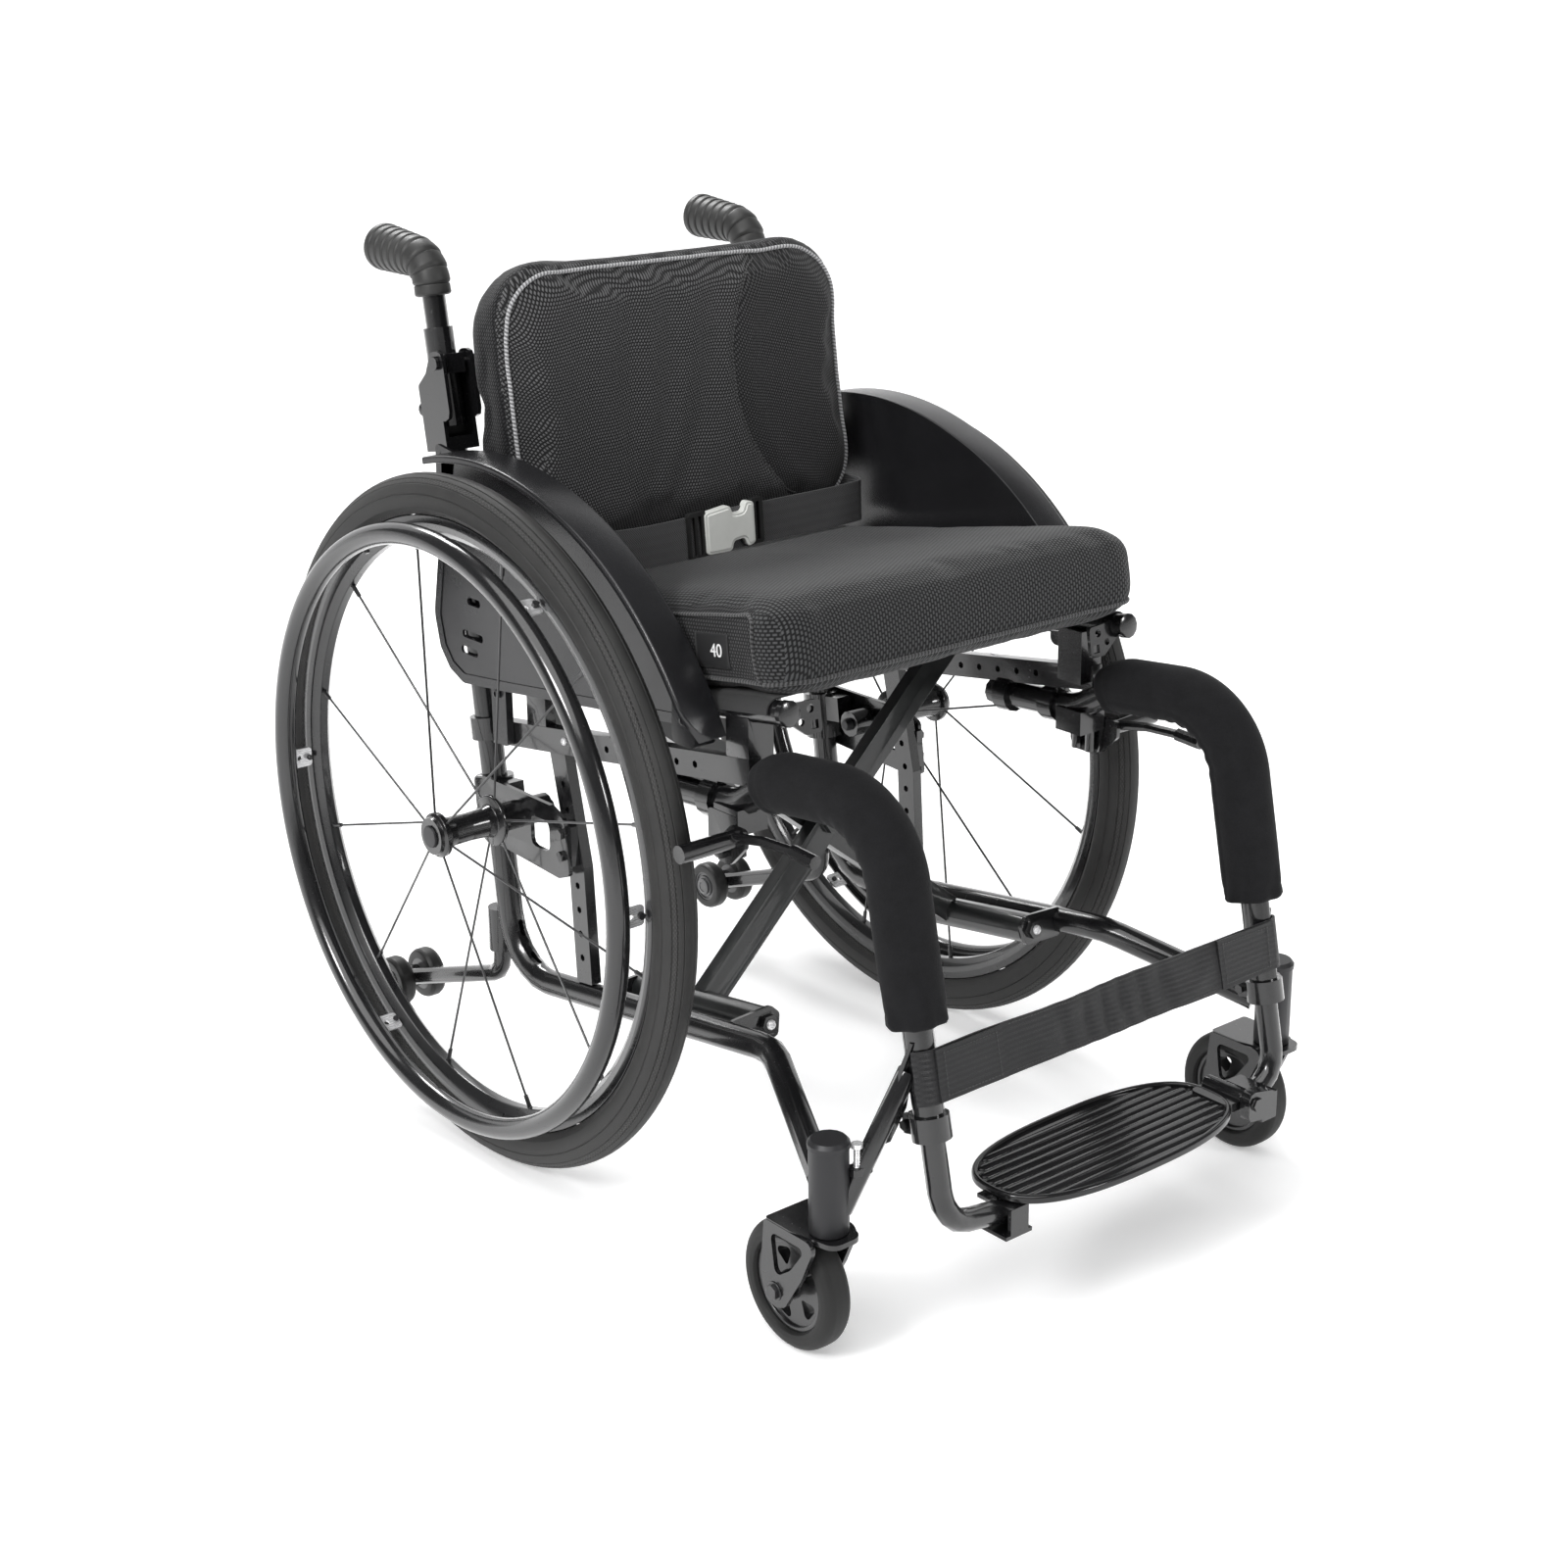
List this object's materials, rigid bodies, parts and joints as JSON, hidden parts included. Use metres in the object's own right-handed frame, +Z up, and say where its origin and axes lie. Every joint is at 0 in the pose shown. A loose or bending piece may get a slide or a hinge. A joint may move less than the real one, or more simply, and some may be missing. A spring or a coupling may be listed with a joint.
{
  "type": "folding wheelchair",
  "caption": "Active cross-brace folding wheelchair with push-rim wheels, swivel casters, low side guards, cushioned seat and back, flip-up footplate, calf strap and lap belt.",
  "frame": {"origin": "centre of the bounding box, on the floor", "axes": "+Z up, -Y is the way the chair faces, +X is the occupant's left"},
  "size_m": [0.592, 0.873, 0.7871],
  "materials": {
    "gloss_black_frame": "gloss",
    "satin_grey_housing": "satin",
    "bright_steel": "bright",
    "black_tyre": "matt",
    "black_rubber": "matt",
    "charcoal_foam": "matt",
    "black_plastic": "satin",
    "black_mesh_cloth": "matt",
    "black_webbing": "matt"
  },
  "bodies": {
    "right_frame": {"right_rear_tube": "gloss_black_frame", "right_front_tube": "gloss_black_frame", "right_caster_mount": "satin_grey_housing", "right_adapter_post": "gloss_black_frame", "right_axle_plate": "gloss_black_frame", "right_rail_bar": "gloss_black_frame", "right_leg_sleeve": "charcoal_foam", "right_side_guard": "black_plastic", "right_brake_mount": "gloss_black_frame", "right_scissor_pivot": "gloss_black_frame", "right_quick_axle": "bright_steel", "seat_sling": "black_webbing", "seat_cushion": "black_mesh_cloth", "back_cushion": "black_mesh_cloth", "calf_strap": "black_webbing", "lap_belt": "black_webbing"},
    "bar_a": {"right_cross_bar": "gloss_black_frame", "left_seat_rail": "gloss_black_frame"},
    "bar_b": {"left_cross_bar": "gloss_black_frame", "right_seat_rail": "gloss_black_frame"},
    "left_frame": {"left_rear_tube": "gloss_black_frame", "left_front_tube": "gloss_black_frame", "left_caster_mount": "satin_grey_housing", "left_adapter_post": "gloss_black_frame", "left_axle_plate": "gloss_black_frame", "left_rail_bar": "gloss_black_frame", "left_leg_sleeve": "charcoal_foam", "left_side_guard": "black_plastic", "left_brake_mount": "gloss_black_frame", "left_scissor_pivot": "gloss_black_frame", "left_quick_axle": "bright_steel"},
    "footplate": {"footplate": "black_plastic"},
    "left_wheel": {"left_tyre": "black_tyre", "left_wheel_rim": "gloss_black_frame", "left_wheel_hub": "gloss_black_frame", "left_push_rim": "gloss_black_frame"},
    "left_fork": {"left_caster_fork": "gloss_black_frame"},
    "left_caster": {"left_caster_wheel": "black_rubber"},
    "left_antitip": {"left_antitip_tube": "gloss_black_frame"},
    "left_antitip_roller": {"left_antitip_wheels": "black_plastic"},
    "left_brake": {"left_brake_lever": "bright_steel"},
    "left_handle": {"left_handle_socket": "gloss_black_frame"},
    "left_handle_top": {"left_handle_tube": "gloss_black_frame", "left_grip": "black_rubber"},
    "left_knob": {"left_lock_knob": "black_plastic"},
    "left_foot": {"left_foot_tube": "gloss_black_frame"},
    "right_wheel": {"right_tyre": "black_tyre", "right_wheel_rim": "gloss_black_frame", "right_wheel_hub": "gloss_black_frame", "right_push_rim": "gloss_black_frame"},
    "right_fork": {"right_caster_fork": "gloss_black_frame"},
    "right_caster": {"right_caster_wheel": "black_rubber"},
    "right_antitip": {"right_antitip_tube": "gloss_black_frame"},
    "right_antitip_roller": {"right_antitip_wheels": "black_plastic"},
    "right_brake": {"right_brake_lever": "bright_steel"},
    "right_handle": {"right_handle_socket": "gloss_black_frame"},
    "right_handle_top": {"right_handle_tube": "gloss_black_frame", "right_grip": "black_rubber"},
    "right_knob": {"right_lock_knob": "black_plastic"},
    "right_foot": {"right_foot_tube": "gloss_black_frame"}
  },
  "joints": [
    {"name": "fold", "type": "hinge", "parent": "right_frame", "child": "bar_a", "pos_m": [-0.1532, -0.0485, 0.17], "axis": [0, -0.989, 0.1478], "range_deg": [0, 34.4], "deforming": ["seat_sling", "seat_cushion", "back_cushion", "calf_strap", "lap_belt"]},
    {"name": "centre_pivot", "type": "hinge", "parent": "bar_a", "child": "bar_b", "pos_m": [0, -0.03003, 0.29357], "axis": [0, -0.989, 0.1478], "range_deg": [-69, 0]},
    {"name": "left_pivot", "type": "hinge", "parent": "bar_b", "child": "left_frame", "pos_m": [0.1532, -0.0485, 0.17], "axis": [0, -0.989, 0.1478], "range_deg": [0, 34.5]},
    {"name": "left_wheel_spin", "type": "hinge", "parent": "left_frame", "child": "left_wheel", "pos_m": [0.2505, 0.1315, 0.305], "axis": [1, 0, 0], "continuous": true},
    {"name": "left_caster_swivel", "type": "hinge", "parent": "left_frame", "child": "left_fork", "pos_m": [0.254, -0.341, 0.0534], "axis": [0, 0, 1], "continuous": true},
    {"name": "left_caster_spin", "type": "hinge", "parent": "left_fork", "child": "left_caster", "pos_m": [0.254, -0.303, 0.0534], "axis": [1, 0, 0], "continuous": true},
    {"name": "left_antitip_swivel", "type": "hinge", "parent": "left_frame", "child": "left_antitip", "pos_m": [0.19, 0.191, 0.155], "axis": [0, 0, 1], "range_deg": [0, 180]},
    {"name": "left_antitip_spin", "type": "hinge", "parent": "left_antitip", "child": "left_antitip_roller", "pos_m": [0.19, 0.3535, 0.074], "axis": [1, 0, 0], "continuous": true},
    {"name": "left_brake", "type": "hinge", "parent": "left_frame", "child": "left_brake", "pos_m": [0.206, -0.1645, 0.354], "axis": [-1, 0, 0], "range_deg": [0, 12]},
    {"name": "left_handle_fold", "type": "hinge", "parent": "left_frame", "child": "left_handle", "pos_m": [0.176, 0.24723, 0.6817], "axis": [-1, 0, 0], "range_deg": [0, 90]},
    {"name": "left_handle_height", "type": "slide", "parent": "left_handle", "child": "left_handle_top", "axis": [0, 0.1685, 0.9857], "range_m": [-0.02, 0.02]},
    {"name": "left_knob_pull", "type": "slide", "parent": "left_frame", "child": "left_knob", "axis": [0, 0.9857, -0.1685], "range_m": [0, 0.005], "stiffness_N_per_m": 400, "springref_m": -0.003},
    {"name": "left_foot_height", "type": "slide", "parent": "left_frame", "child": "left_foot", "axis": [0, 0.201, 0.9796], "range_m": [-0.02, 0.02]},
    {"name": "right_wheel_spin", "type": "hinge", "parent": "right_frame", "child": "right_wheel", "pos_m": [-0.2505, 0.1315, 0.305], "axis": [1, 0, 0], "continuous": true},
    {"name": "right_caster_swivel", "type": "hinge", "parent": "right_frame", "child": "right_fork", "pos_m": [-0.254, -0.341, 0.0534], "axis": [0, 0, 1], "continuous": true},
    {"name": "right_caster_spin", "type": "hinge", "parent": "right_fork", "child": "right_caster", "pos_m": [-0.254, -0.303, 0.0534], "axis": [1, 0, 0], "continuous": true},
    {"name": "right_antitip_swivel", "type": "hinge", "parent": "right_frame", "child": "right_antitip", "pos_m": [-0.19, 0.191, 0.155], "axis": [0, 0, -1], "range_deg": [0, 180]},
    {"name": "right_antitip_spin", "type": "hinge", "parent": "right_antitip", "child": "right_antitip_roller", "pos_m": [-0.19, 0.3535, 0.074], "axis": [1, 0, 0], "continuous": true},
    {"name": "right_brake", "type": "hinge", "parent": "right_frame", "child": "right_brake", "pos_m": [-0.206, -0.1645, 0.354], "axis": [-1, 0, 0], "range_deg": [0, 12]},
    {"name": "right_handle_fold", "type": "hinge", "parent": "right_frame", "child": "right_handle", "pos_m": [-0.176, 0.24723, 0.6817], "axis": [-1, 0, 0], "range_deg": [0, 90]},
    {"name": "right_handle_height", "type": "slide", "parent": "right_handle", "child": "right_handle_top", "axis": [0, 0.1685, 0.9857], "range_m": [-0.02, 0.02]},
    {"name": "right_knob_pull", "type": "slide", "parent": "right_frame", "child": "right_knob", "axis": [0, 0.9857, -0.1685], "range_m": [0, 0.005], "stiffness_N_per_m": 400, "springref_m": -0.003},
    {"name": "right_foot_height", "type": "slide", "parent": "right_frame", "child": "right_foot", "axis": [0, 0.201, 0.9796], "range_m": [-0.02, 0.02]},
    {"name": "footplate_flip", "type": "hinge", "parent": "left_foot", "child": "footplate", "pos_m": [0.14, -0.3885, 0.1185], "axis": [0, 1, 0], "range_deg": [0, 90.1]}
  ],
  "couplings": [
    {"joint": "centre_pivot", "follows": "fold", "ratio": -2},
    {"joint": "left_pivot", "follows": "fold", "ratio": 1},
    {"joint": "footplate_flip", "follows": "fold", "ratio": 2.6163},
    {"joint": "right_foot_height", "follows": "left_foot_height", "ratio": 1}
  ]
}
